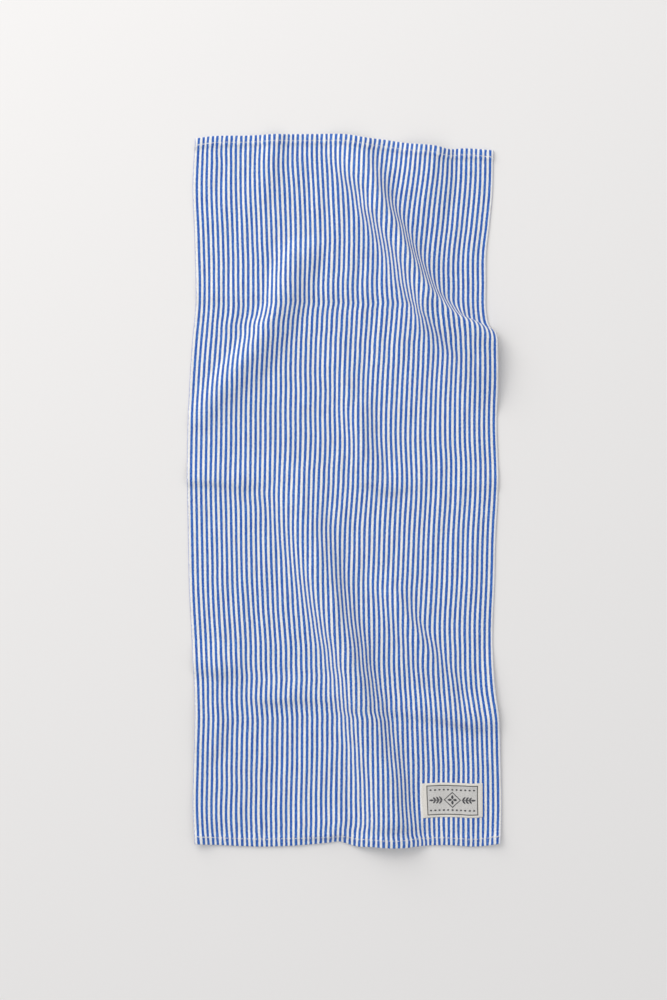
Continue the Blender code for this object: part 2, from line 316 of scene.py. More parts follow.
CREASES = (
    (
        CreasePoint(0, 180, 1.0, 10),
        CreasePoint(200, 180, 1.0, 10),
        CreasePoint(300, 180, 0, 10),
    ),
    (
        CreasePoint(0, 388, 3.7, 9),
        CreasePoint(40, 389, 3.4, 10),
        CreasePoint(60, 391, 3.6, 15),
        CreasePoint(84, 391, 1.1, 9),
        CreasePoint(196, 391, 1.1, 9),
        CreasePoint(224, 394, 4.2, 15),
        CreasePoint(250, 393, 1.5, 10),
        CreasePoint(350, 391, 1.6, 9),
    ),
    (
        CreasePoint(0, 598, 3.6, 18),
        CreasePoint(46, 599, 4.2, 20),
        CreasePoint(60, 600, 0, 20),
    ),
    (
        CreasePoint(56, 632, 0, 12),
        CreasePoint(78, 633, 3.0, 12),
        CreasePoint(140, 635, 2.6, 12),
        CreasePoint(168, 638, 0.9, 10),
        CreasePoint(232, 646, 2.0, 11),
        CreasePoint(280, 653, 4.4, 14),
        CreasePoint(328, 658, 5.0, 16),
        CreasePoint(350, 661, 2.0, 14),
    ),
    (
        CreasePoint(190, 776, 0, 10),
        CreasePoint(215, 776, 1.8, 9),
        CreasePoint(255, 776, 1.8, 9),
        CreasePoint(275, 776, 0, 10),
    ),
    (
        CreasePoint(100, 787, 0, 10),
        CreasePoint(130, 787, 2.6, 10),
        CreasePoint(165, 788, 4.4, 10),
        CreasePoint(182, 788, 0, 10),
    ),
)

# The outline as it lies. A row of a side gives how far out the selvedge lies at one place along the cloth,
# and a row of an end gives how far up the hem's edge lies at one distance across it.
EdgePoint = namedtuple("EdgePoint", "at place")

LEFT_SIDE = (
    EdgePoint(0, -164.7),
    EdgePoint(50, -167.3),
    EdgePoint(117, -165.2),
    EdgePoint(200, -164.9),
    EdgePoint(222, -167.2),
    EdgePoint(260, -169.9),
    EdgePoint(360, -173.5),
    EdgePoint(440, -172.7),
    EdgePoint(520, -170.8),
    EdgePoint(590, -167.3),
    EdgePoint(650, -164.8),
    EdgePoint(700, -166),
    EdgePoint(760, -167),
    EdgePoint(800, -164.9),
)
RIGHT_SIDE = (
    EdgePoint(0, 164.4),
    EdgePoint(50, 163.3),
    EdgePoint(85, 160.1),
    EdgePoint(120, 156.4),
    EdgePoint(150, 156.4),
    EdgePoint(188, 157.2),
    EdgePoint(196, 158.6),
    EdgePoint(204, 162),
    EdgePoint(212, 165.6),
    EdgePoint(220, 167.5),
    EdgePoint(234, 168.2),
    EdgePoint(250, 168.7),
    EdgePoint(275, 169),
    EdgePoint(320, 168.4),
    EdgePoint(385, 170),
    EdgePoint(450, 167),
    EdgePoint(505, 165.7),
    EdgePoint(550, 163.9),
    EdgePoint(600, 164.6),
    EdgePoint(625, 166.4),
    EdgePoint(655, 170.3),
    EdgePoint(700, 172),
    EdgePoint(760, 173.2),
    EdgePoint(800, 172.1),
)
TOP_END = (
    EdgePoint(0, 388.2),
    EdgePoint(15, 390.4),
    EdgePoint(60, 391.5),
    EdgePoint(125, 393.2),
    EdgePoint(180, 391.7),
    EdgePoint(197, 389),
    EdgePoint(215, 387.5),
    EdgePoint(250, 382.2),
    EdgePoint(280, 379.3),
    EdgePoint(296, 376.4),
    EdgePoint(315, 377.4),
    EdgePoint(350, 375.4),
)
BOTTOM_END = (
    EdgePoint(0, -387.6),
    EdgePoint(30, -389.1),
    EdgePoint(84, -390.8),
    EdgePoint(125, -388.8),
    EdgePoint(152, -386.4),
    EdgePoint(165, -385.2),
    EdgePoint(175, -388.2),
    EdgePoint(184, -390.3),
    EdgePoint(200, -390.2),
    EdgePoint(225, -391.1),
    EdgePoint(255, -389.9),
    EdgePoint(290, -389.2),
    EdgePoint(325, -390.6),
    EdgePoint(350, -387.2),
)
# The overtone evens a flank's slope, and no stretch of thread covers less than this share of its length.
OVERTONE = 0.02
LEAST_COVER = 0.2


def soft_step(value, start, end):
    """0 up to start and 1 from end on, and between them the cubic 3 t^2 - 2 t^3."""
    t = np.clip((value - start) / (end - start), 0, 1)
    return t * t * (3 - 2 * t)


def follow(table, start, column, places):
    """One column of a table as a cubic Hermite curve through its rows, read at each place."""
    rows = np.array([getattr(row, start) for row in table], float)
    values = np.array([getattr(row, column) for row in table], float)
    slopes = np.gradient(values, rows)
    row = np.clip(np.searchsorted(rows, places) - 1, 0, len(rows) - 2)
    gap = rows[row + 1] - rows[row]
    t = np.clip((places - rows[row]) / gap, 0, 1)
    from_value = (2 * t**3 - 3 * t**2 + 1) * values[row]
    from_slope = (t**3 - 2 * t**2 + t) * gap * slopes[row]
    to_value = (3 * t**2 - 2 * t**3) * values[row + 1]
    to_slope = (t**3 - t**2) * gap * slopes[row + 1]
    return from_value + from_slope + to_value + to_slope


def flank(distance):
    """A soft step from 0 to 1 over one flank, with an even slope in its middle: a sine and its overtone."""
    t = np.clip(distance, -0.5, 0.5)
    return 0.5 + (0.5 - OVERTONE) * np.sin(np.pi * t) - OVERTONE * np.sin(3 * np.pi * t)


def ridge_height(sections, across, along):
    """The height that one fold adds: up its left flank and down its right one."""

    def column(name):
        return follow(sections, "along", name, along)

    beyond = (along < sections[0].along) | (along > sections[-1].along)
    rise = np.where(beyond, 0, np.maximum(column("rise"), 0))
    up = flank((across - column("left")) / column("left_run"))
    down = flank((across - column("right")) / column("right_run"))
    return rise * (up - down)


def crease_height(points, across, along):
    """The height that one pressed crease adds: half a raised cosine up and half a shorter one down."""
    beyond = (across < points[0].across) | (across > points[-1].across)
    off_crest = along - follow(points, "across", "along", across)
    rise = np.where(beyond, 0, np.maximum(follow(points, "across", "rise", across), 0))
    fall = follow(points, "across", "fall", across)
    t = np.clip(off_crest / np.where(off_crest < 0, CREASE_CLIMB, fall), -1, 1)
    return rise * (0.5 + 0.5 * np.cos(np.pi * t))


def cloth_height(across, along):
    """The sum of all the ridges and all the creases."""
    ridges = sum(ridge_height(sections, across, along) for sections in RIDGES)
    creases = sum(crease_height(points, across, along) for points in CREASES)
    return ridges + creases


# Crumples left by washing, coarsest first. A row gives how long the waves are across and along, their height,
# how many cross each other, and how far they push the yarns sideways.
Crumple = namedtuple("Crumple", "wide long height waves sideways")

CRUMPLES = (
    Crumple(80, 90, 0.5, 7, 0.12),
    Crumple(22, 70, 0.3, 11, 0.06),
    Crumple(9, 45, 0.15, 16, 0),
)

# Each wave's length is this much shorter or longer than its row says, and the draws start from these seeds.
CRUMPLE_SPREAD = (0.8, 1.25)
CRUMPLE_SEED = 11
STITCH_SEED = 5

# At its edges the cloth lies closer to the table: they keep this share of the crumples, which grow to their
# full height over this distance. The thread draws each hem into small puckers, given by their height, the
# shortest and longest wave, how many there are and how much their lengths stray, how far inside the seam they
# are highest, and how far they reach from there.
EDGE_CRUMPLE = 0.3
EDGE_REACH = 30
PUCKER_HEIGHT = 1.2
PUCKER_LENGTHS = (7, 18)
PUCKER_WAVES = 8
PUCKER_SPREAD = (0.9, 1.1)
PUCKER_INSIDE = 1
PUCKER_REACH = 5

# Where the warp has been pulled to one side. A row gives the middle of such a place, how far it is pulled to
# the right, and how far that reaches each way across and along.
Sway = namedtuple("Sway", "across along pull wide long")

SWAYS = (
    Sway(225, 0, 1.8, 70, 10),
    Sway(40, 2, -0.6, 40, 8),
    Sway(25, 16, -1.0, 40, 9),
    Sway(100, 36, -0.6, 30, 14),
    Sway(290, 56, -0.4, 30, 18),
    Sway(130, 112, 0.6, 60, 20),
    Sway(238, 92, 0.9, 14, 16),
    Sway(240, 116, 1.4, 20, 24),
    Sway(180, 152, 1.3, 50, 18),
    Sway(30, 180, -0.8, 45, 26),
    Sway(282, 184, -1.6, 22, 12),
    Sway(322, 184, 0.9, 14, 9),
    Sway(8, 200, -0.8, 25, 12),
    Sway(65, 212, -1.4, 45, 9),
    Sway(150, 203, -0.8, 60, 10),
    Sway(290, 205, -1.0, 30, 10),
    Sway(295, 240, 1.0, 24, 14),
    Sway(180, 244, 1.0, 120, 22),
    Sway(140, 288, 1.2, 60, 20),
    Sway(250, 305, 0.7, 70, 40),
    Sway(170, 345, 0.6, 50, 20),
    Sway(150, 364, 0.5, 50, 14),
    Sway(312, 364, 0.7, 45, 16),
    Sway(75, 404, -0.7, 25, 10),
    Sway(170, 442, -0.6, 40, 20),
    Sway(30, 505, -0.6, 60, 20),
    Sway(95, 538, -1.1, 40, 20),
    Sway(185, 548, -0.8, 22, 18),
    Sway(245, 508, -0.5, 35, 12),
    Sway(290, 578, 0.9, 45, 16),
    Sway(120, 562, -0.5, 60, 14),
    Sway(45, 584, -0.6, 50, 14),
    Sway(240, 602, 0.6, 30, 14),
    Sway(70, 636, -1.7, 75, 22),
    Sway(200, 636, -0.7, 18, 22),
    Sway(340, 622, -0.8, 25, 14),
    Sway(5, 644, -0.7, 22, 12),
    Sway(225, 646, -0.8, 40, 9),
    Sway(335, 646, -0.6, 40, 10),
    Sway(40, 678, -0.8, 45, 20),
    Sway(165, 692, 0.7, 35, 14),
    Sway(40, 712, -0.7, 40, 14),
    Sway(300, 715, 0.9, 50, 22),
    Sway(40, 765, -0.8, 45, 26),
    Sway(85, 724, -0.5, 30, 12),
    Sway(215, 775, 1.0, 60, 26),
    Sway(235, 798, 1.4, 45, 10),
)


def crumple(across, along, row, chance):
    """A sum of cosines of plane waves in random directions, each about as long as the row says."""
    total = np.zeros(across.shape)
    for _ in range(row.waves):
        angle = chance.uniform(0, np.pi)
        turn = chance.uniform(0, 2 * np.pi)
        number = 2 * np.pi / chance.uniform(*CRUMPLE_SPREAD)
        place = across * np.cos(angle) / row.wide + along * np.sin(angle) / row.long
        total += np.cos(number * place + turn)
    return total / np.sqrt(row.waves / 2)


def seam_to_edge(along):
    """How far the seam of the nearer hem is from that hem's edge."""
    return np.where(along < CLOTH_LENGTH / 2, TOP_SEAM_TO_EDGE, BOTTOM_SEAM_TO_EDGE)


def hem_puckers(across, along, chance):
    """Waves along each hem, highest near its seam: the mean of sines of random lengths, alike on both hems,
    raised by a half, times a bell curve of the distance from the seam."""
    total = np.zeros(across.shape)
    for length in np.linspace(*PUCKER_LENGTHS, PUCKER_WAVES):
        turn = chance.uniform(0, 2 * np.pi)
        total += np.sin(2 * np.pi * across / (length * chance.uniform(*PUCKER_SPREAD)) + turn)
    off_seam = np.minimum(along, CLOTH_LENGTH - along) - seam_to_edge(along) - PUCKER_INSIDE
    return PUCKER_HEIGHT * np.exp(-((off_seam / PUCKER_REACH) ** 2)) * (0.5 + total / PUCKER_WAVES)


def laid_share(height, axis):
    """How much of the laid size is used up at each point. Linen doesn't stretch, so a thread that climbs with
    a slope s covers only sqrt(1 - s * s) of its own length on the table."""
    slope = np.gradient(height, axis=axis)
    cover = np.sqrt(np.clip(1 - slope**2, LEAST_COVER**2, 1))
    run = np.cumsum(cover, axis) - (cover + cover.take([0], axis)) / 2
    return run / run.take([-1], axis)


def laid_places(across, along, height):
    """The underside of the cloth: its outline, filled in by how much each thread covers."""
    left = follow(LEFT_SIDE, "at", "place", along)
    right = follow(RIGHT_SIDE, "at", "place", along)
    top = follow(TOP_END, "at", "place", across)
    bottom = follow(BOTTOM_END, "at", "place", across)
    x = left + (right - left) * laid_share(height, 0)
    y = top + (bottom - top) * laid_share(height, 1)
    return np.stack([x, y, height], -1)


def sideways_pull(across, along):
    """How far the sways pull each point: the sum of their round, soft-edged pulls."""
    total = np.zeros(across.shape)
    for sway in SWAYS:
        off = ((across - sway.across) / sway.wide) ** 2 + ((along - sway.along) / sway.long) ** 2
        total += sway.pull * np.exp(-off)
    return total


class LaidCloth:
    """The cloth's underside as a lattice, with one point and its normal for each millimetre across and along.

    The height is the folds', plus the crumples' less their lowest, plus the puckers'. The crumples and the
    sideways pulls fade towards the edges.
    """

    def __init__(self):
        chance = np.random.default_rng(CRUMPLE_SEED)
        across, along = np.meshgrid(
            np.arange(CLOTH_WIDTH + 1.0), np.arange(CLOTH_LENGTH + 1.0), indexing="ij"
        )
        folds = cloth_height(across, along)
        plain = laid_places(across, along, folds)
        middle = (plain.min((0, 1)) + plain.max((0, 1))) / 2
        crumples = np.zeros(across.shape)
        sideways = sideways_pull(across, along)
        for row in CRUMPLES:
            crumples += row.height * crumple(across, along, row, chance)
            sideways += row.sideways * crumple(across, along, row, chance)
        to_side = np.minimum(across, CLOTH_WIDTH - across)
        to_end = np.minimum(along, CLOTH_LENGTH - along)
        crumples -= crumples.min()
        inside = soft_step(np.minimum(to_side, to_end), 0, EDGE_REACH)
        crumples *= EDGE_CRUMPLE + (1 - EDGE_CRUMPLE) * inside
        crumples += hem_puckers(across, along, chance)
        sideways *= np.clip(to_side / EDGE_REACH, 0, 1)
        places = plain + np.stack([sideways, np.zeros(across.shape), crumples], -1)
        self.places = places - [middle[0], middle[1], 0]
        by_across = np.gradient(self.places, axis=0)
        by_along = np.gradient(self.places, axis=1)
        normals = np.cross(by_along, by_across)
        self.normals = normals / np.linalg.norm(normals, axis=-1, keepdims=True)

    def at(self, across, along, lift):
        """Places on the cloth, raised by lift along the normal, both bilinear between lattice points."""
        column = np.clip(np.floor(across).astype(int), 0, CLOTH_WIDTH - 1)
        row = np.clip(np.floor(along).astype(int), 0, CLOTH_LENGTH - 1)
        s = (across - column)[..., None]
        t = (along - row)[..., None]
        found = []
        for field in (self.places, self.normals):
            near = field[column, row] * (1 - s) + field[column + 1, row] * s
            far = field[column, row + 1] * (1 - s) + field[column + 1, row + 1] * s
            found.append(near * (1 - t) + far * t)
        place, normal = found
        return place + normal * np.asarray(lift)[..., None]


def arc(centre, middle, radius, first, last, steps):
    """Points (along, lift) of a turn of the cloth, round a centre at distance centre and height middle."""
    angle = np.linspace(first, last, steps + 1)[1:]
    return np.stack([centre + radius * np.cos(angle), middle + radius * np.sin(angle)], -1)


def hem_profile():
    """The section of a turned hem, from the tucked raw edge out to the cloth's own top layer.

    Each point is (along, lift): in the middle layer towards the seam, round the inner turn, back to the hem's
    edge in the bottom layer, and up round the outer turn. The layers are straight and the turns half circles.
    """
    bottom = CLOTH_THICKNESS / 2
    middle = bottom + LAYER_PITCH
    inner = LAYER_PITCH / 2
    outer = LAYER_PITCH
    seam = HEM_DEPTH - HEM_EASE - inner
    tuck = np.linspace(HEM_DEPTH - TUCK_DEPTH, seam, LAYER_ROWS)
    tuck = np.stack([tuck, np.full(len(tuck), middle)], -1)
    turn_in = arc(seam, bottom + inner, inner, np.pi / 2, -np.pi / 2, INNER_TURN_ROWS)
    under = np.linspace(seam, outer, LAYER_ROWS)[1:]
    under = np.stack([under, np.full(len(under), bottom)], -1)
    turn_out = arc(outer, bottom + outer, outer, -np.pi / 2, -3 * np.pi / 2, OUTER_TURN_ROWS)
    return np.concatenate([tuck, turn_in, under, turn_out])


def top_lift(along):
    """The lift of the top layer: high over the hem, drawn down at the stitching, low on the body."""
    low = CLOTH_THICKNESS / 2
    high = low + 2 * LAYER_PITCH
    from_edge = np.minimum(along, CLOTH_LENGTH - along)
    step_start, step_end = HEM_STEP
    lift = high + (low - high) * soft_step(from_edge, HEM_DEPTH + step_start, HEM_DEPTH + step_end)
    off_seam = from_edge - seam_to_edge(along)
    return lift - STITCH_DRAW * np.exp(-((off_seam / STITCH_DRAW_REACH) ** 2))


def cloth_rows():
    """Every row of the cloth's mesh as (along, lift, yarn), from one raw edge to the other."""
    hem = hem_profile()
    first = hem[-1, 0]
    near_hem = np.array(ROWS_OVER_HEM)
    start = near_hem[-1] + ROWS_OVER_HEM_TO_BODY
    cells = round((CLOTH_LENGTH - 2 * start) / CELL_ALONG)
    body = np.linspace(start, CLOTH_LENGTH - start, cells + 1)
    top = np.concatenate([near_hem, body, CLOTH_LENGTH - near_hem[::-1]])
    along = np.concatenate([hem[:, 0], top, CLOTH_LENGTH - hem[::-1, 0]])
    lift = np.concatenate([hem[:, 1], top_lift(top), hem[::-1, 1]])
    step = np.hypot(np.diff(along), np.diff(lift))
    yarn = np.concatenate([[0], np.cumsum(step)])
    yarn += first - yarn[len(hem) - 1]
    return along, lift, yarn


def new_piece(name, points, faces, finish):
    """A smooth-shaded mesh object from points in millimetres."""
    mesh = bpy.data.meshes.new(name)
    mesh.from_pydata((np.asarray(points).reshape(-1, 3) * MM).tolist(), [], np.asarray(faces).tolist())
    mesh.update()
    mesh.shade_smooth()
    mesh.materials.append(finish)
    piece = bpy.data.objects.new(name, mesh)
    bpy.context.scene.collection.objects.link(piece)
    return piece


def grid_faces(columns, rows):
    """Quads of a grid of columns by rows points, seen from above."""
    index = np.arange(columns * rows).reshape(columns, rows)
    quads = [index[:-1, :-1], index[:-1, 1:], index[1:, 1:], index[1:, :-1]]
    return np.stack(quads, -1).reshape(-1, 4)


def repeated(faces, points_each, count):
    """The faces of count like shapes whose points follow each other in one list."""
    starts = np.arange(count) * points_each
    return (starts[:, None, None] + faces).reshape(-1, faces.shape[-1])


def lay_map(piece, name, pairs):
    """A map that holds each point's own distances across the piece and along it, in millimetres."""
    corners = np.zeros(len(piece.data.loops), int)
    piece.data.loops.foreach_get("vertex_index", corners)
    layer = piece.data.uv_layers.new(name=name)
    layer.uv.foreach_set("vector", pairs.reshape(-1, 2)[corners].astype(np.float32).ravel())


def give_thickness(piece, thickness):
    """Half the thickness goes to each side of the piece's surface."""
    solid = piece.modifiers.new("thickness", "SOLIDIFY")
    solid.thickness = thickness * MM
    solid.offset = 0
    solid.use_even_offset = True
    solid.use_quality_normals = True


def make_cloth(cloth):
    """The towel as one sheet with its hems turned: a grid of warp places by the rows of its section."""
    columns = np.linspace(0, CLOTH_WIDTH, CELLS_ACROSS + 1)
    along, lift, yarn = cloth_rows()
    across_grid, along_grid = np.meshgrid(columns, along, indexing="ij")
    points = cloth.at(across_grid, along_grid, np.broadcast_to(lift, along_grid.shape))
    piece = new_piece("striped_cloth", points, grid_faces(*along_grid.shape), striped_linen())
    lay_map(piece, "yarns", np.stack([across_grid, np.broadcast_to(yarn, along_grid.shape)], -1))
    give_thickness(piece, CLOTH_THICKNESS)
    return piece


def on_label(cloth, x, y, lift):
    """Places over the label, from distances right of and above its middle. It is sewn on a little askew."""
    across = CLOTH_WIDTH - LABEL_TO_SIDE - LABEL_WIDTH / 2 + x
    along = CLOTH_LENGTH - LABEL_TO_HEM - LABEL_HEIGHT / 2 - y - LABEL_LEAN * x
    return cloth.at(across, along, lift)


def label_lift(x, y):
    """Mid-height of the tape over the cloth: proud over the edge folded under it, by a soft step up and one
    down, and low at its seam, by a bell curve."""
    to_edge = np.minimum(LABEL_WIDTH / 2 - np.abs(x), LABEL_HEIGHT / 2 - np.abs(y))
    flat = CLOTH_THICKNESS + LABEL_THICKNESS / 2 + LABEL_GAP
    fold = FOLD_RISE * soft_step(to_edge, 0, FOLD_ROUND) * (1 - soft_step(to_edge, *FOLD_END))
    seam = LABEL_SEAM_DRAW * np.exp(-(((to_edge - LABEL_SEAM) / LABEL_SEAM_REACH) ** 2))
    return flat + fold - seam


def make_label(cloth):
    """The label: a thin tape over the flat cloth, its edges folded under and sewn down."""
    x, y = np.meshgrid(
        np.linspace(-LABEL_WIDTH / 2, LABEL_WIDTH / 2, LABEL_COLUMNS),
        np.linspace(LABEL_HEIGHT / 2, -LABEL_HEIGHT / 2, LABEL_ROWS),
        indexing="ij",
    )
    points = on_label(cloth, x, y, label_lift(x, y))
    piece = new_piece("woven_label_tape", points, grid_faces(*x.shape), label_tape())
    lay_map(piece, "tape", np.stack([x, y], -1))
    give_thickness(piece, LABEL_THICKNESS)
    return piece


def leaf_places(leaves):
    """Each leaf as a grid: s runs from its root to its tip, and t from side to side. Its half width is
    wide / 2 * sin(pi * s) ** LEAF_FULLNESS, but never quite nothing."""
    root_x, root_y, angle, long, wide = leaves.T[..., None, None]
    s = np.linspace(0, 1, LEAF_ROWS)[:, None]
    t = np.array([-1.0, 1.0])
    off = wide / 2 * np.maximum(np.sin(np.pi * s) ** LEAF_FULLNESS, LEAF_TIP) * t
    x = root_x + long * s * np.cos(angle) - off * np.sin(angle)
    y = root_y + long * s * np.sin(angle) + off * np.cos(angle)
    return x, y


def turned(leaf, turn):
    """A leaf that starts level with the label's middle, turned round that middle."""
    return leaf._replace(x=leaf.x * math.cos(turn), y=leaf.x * math.sin(turn), heading=leaf.heading + turn)


def label_leaves():
    """The label's figure as rows of leaves: a four-leaved flower in the middle, a sprig to each side of it,
    and a row of dots above and below."""
    leaves = [turned(PETAL, turn) for turn in np.arange(4) * np.pi / 2]
    for turn in (0, np.pi):
        leaves += [turned(STEM, turn), turned(TIP_LEAF, turn)]
        for step, side in itertools.product(range(SIDE_LEAF_PAIRS), (-1, 1)):
            leaf = SIDE_LEAF._replace(
                x=SIDE_LEAF.x + SIDE_LEAF_PITCH * step,
                heading=side * SIDE_LEAF.heading,
                long=SIDE_LEAF.long - SIDE_LEAF_SHRINK * step,
            )
            leaves.append(turned(leaf, turn))
    for column, row in itertools.product(range(-DOTS_EACH_WAY, DOTS_EACH_WAY + 1), (-1, 1)):
        leaves.append(DOT._replace(x=column * DOT_PITCH + DOT.x, y=row * DOT.y))
    return np.array(leaves, float)


def lozenge_places(half_width, half_height, stroke):
    """An open lozenge: its four straight sides between corners on both axes, each a strip stroke wide."""
    corners = np.array([(1, 0), (0, 1), (-1, 0), (0, -1), (1, 0)], float)
    steps = np.linspace(0, len(corners) - 1, LOZENGE_ROWS)
    unit = np.stack([np.interp(steps, np.arange(len(corners)), corners[:, i]) for i in (0, 1)], -1)
    grow = np.array([-stroke / 2, stroke / 2])
    x = unit[:, :1] * (half_width + grow)
    y = unit[:, 1:] * (half_height + grow)
    return x, y


def make_label_figure(cloth):
    """The figure that the label's dark weft makes, a little proud of the tape."""
    x, y = leaf_places(label_leaves())
    leaf_faces = repeated(grid_faces(*x.shape[1:])[:, ::-1], x[0].size, len(x))
    ring_x, ring_y = lozenge_places(LOZENGE_HALF_WIDTH, LOZENGE_HALF_HEIGHT, LOZENGE_STROKE)
    faces = np.concatenate([leaf_faces, x.size + grid_faces(*ring_x.shape)])
    x = np.concatenate([x.ravel(), ring_x.ravel()])
    y = np.concatenate([y.ravel(), ring_y.ravel()])
    lift = label_lift(x, y) + LABEL_THICKNESS / 2 + FIGURE_PROUD
    piece = new_piece("label_figure", on_label(cloth, x, y, lift), faces, figure_thread())
    give_thickness(piece, FIGURE_THICKNESS)
    return piece


def thread_run(start, end, up):
    """Many stitches at once, as points of rings round a line. Each stitch rises from its start and falls to
    its end as a half sine, and its girth, the root of 1.02 - (2 t - 1)^4, all but closes at both."""
    t = np.linspace(0, 1, STITCH_RINGS)[:, None]
    turn = np.arange(RING_POINTS) / RING_POINTS * 2 * np.pi
    arch = STITCH_ARCH * np.sin(np.pi * t) - STITCH_SINK
    line = start[:, None] * (1 - t) + end[:, None] * t + up[:, None] * arch
    run = end - start
    run /= np.linalg.norm(run, axis=-1, keepdims=True)
    side = np.cross(run, up)
    girth = THREAD_RADIUS * np.sqrt(np.clip(1.02 - (2 * t - 1) ** 4, 0, 1))
    spoke = side[:, None] * np.cos(turn)[:, None] + up[:, None] * np.sin(turn)[:, None]
    return line[:, :, None] + girth[:, None] * spoke[:, None]


def stitch_faces():
    """The walls and the two end caps of one stitch as quads. Two of them close a ring of six points."""
    ring = np.arange(STITCH_POINTS).reshape(STITCH_RINGS, RING_POINTS)
    after = np.roll(ring, -1, 1)
    walls = np.stack([ring[:-1], after[:-1], after[1:], ring[1:]], -1).reshape(-1, 4)
    start_cap = ring[0, [[3, 2, 1, 0], [5, 4, 3, 0]]]
    end_cap = ring[-1, [[0, 1, 2, 3], [0, 3, 4, 5]]]
    return np.concatenate([walls, start_cap, end_cap])


def make_hem_stitches(cloth):
    """One row of lockstitch along each hem, sewn over twice at its ends."""
    chance = np.random.default_rng(STITCH_SEED)
    runs = []
    for end, seam in ((0, TOP_SEAM_TO_EDGE), (CLOTH_LENGTH, BOTTOM_SEAM_TO_EDGE)):
        first = np.arange(SEAM_INSET, CLOTH_WIDTH - SEAM_INSET - STITCH_LENGTH, STITCH_PITCH)
        near_side = np.abs(first - CLOTH_WIDTH / 2) > CLOTH_WIDTH / 2 - BACKTACK
        again = first[near_side] + STITCH_PITCH * BACKTACK_SHIFT
        again = again[again + STITCH_LENGTH < CLOTH_WIDTH - BACKTACK_INSET]
        across = np.concatenate([first, again])
        row = np.concatenate([np.full(len(first), seam), np.full(len(again), seam + BACKTACK_ASIDE)])
        row = np.abs(end - row - chance.normal(0, STITCH_STRAY, len(row)))
        lift = top_lift(row) + CLOTH_THICKNESS / 2
        start = cloth.at(across, row, lift)
        finish_row = row + chance.normal(0, STITCH_SLANT, len(row))
        finish = cloth.at(across + STITCH_LENGTH, finish_row, lift)
        runs.append(thread_run(start, finish, cloth.at(across, row, lift + 1) - start))
    points = np.concatenate(runs)
    faces = repeated(stitch_faces(), STITCH_POINTS, len(points))
    return new_piece("hem_stitches", points, faces, spun_thread("white_spun_thread", "#FBFAF8"))


def make_label_stitches(cloth):
    """A row of small stitches round the label, just inside its folded edge."""
    half_width = LABEL_WIDTH / 2 - LABEL_SEAM
    half_height = LABEL_HEIGHT / 2 - LABEL_SEAM
    corners = np.array([(-1, 1), (1, 1), (1, -1), (-1, -1), (-1, 1)]) * (half_width, half_height)
    starts = []
    ends = []
    for corner, following in zip(corners, corners[1:]):
        distance = np.linalg.norm(following - corner)
        count = int(distance / LABEL_STITCH_PITCH)
        middle = (np.arange(count) + 0.5)[:, None] / count
        half = LABEL_STITCH_LENGTH / 2 / distance
        starts.append(corner + (following - corner) * (middle - half))
        ends.append(corner + (following - corner) * (middle + half))
    (x, y), (end_x, end_y) = np.concatenate(starts).T, np.concatenate(ends).T
    lift = label_lift(x, y) + LABEL_THICKNESS / 2
    start = on_label(cloth, x, y, lift)
    finish = on_label(cloth, end_x, end_y, lift)
    points = thread_run(start, finish, on_label(cloth, x, y, lift + 1) - start)
    faces = repeated(stitch_faces(), STITCH_POINTS, len(points))
    return new_piece("label_stitches", points, faces, spun_thread("cream_spun_thread", "#EDE9DF"))


def linear(code):
    """An sRGB hex colour as linear red, green, blue and full cover."""
    values = [int(code[i : i + 2], 16) / 255 for i in (1, 3, 5)]
    return (*(v / 12.92 if v <= 0.04045 else ((v + 0.055) / 1.055) ** 2.4 for v in values), 1)


def add(tree, kind, *inputs, **named):
    """Adds a node. The inputs fill its sockets in order. A named value whose name starts with a capital
    letter goes to the socket of that name, and any other is a setting. A node given as an input stands for
    its output."""
    node = tree.nodes.new("ShaderNode" + kind)
    for name, value in named.items():
        if name[0].islower():
            setattr(node, name, value)
    live = [socket for socket in node.inputs if socket.enabled]
    pairs = list(zip(live, inputs))
    for name, value in named.items():
        if name[0].isupper():
            pairs.append((node.inputs[name.replace("_", " ")], value))
    for socket, value in pairs:
        if isinstance(value, bpy.types.Node):
            value = next(output for output in value.outputs if output.enabled)
        if isinstance(value, bpy.types.NodeSocket):
            tree.links.new(value, socket)
        else:
            socket.default_value = value
    return node


def new_finish(name):
    """A material with an empty tree of nodes."""
    made = bpy.data.materials.new(name)
    made.use_nodes = True
    made.node_tree.nodes.clear()
    return made, made.node_tree


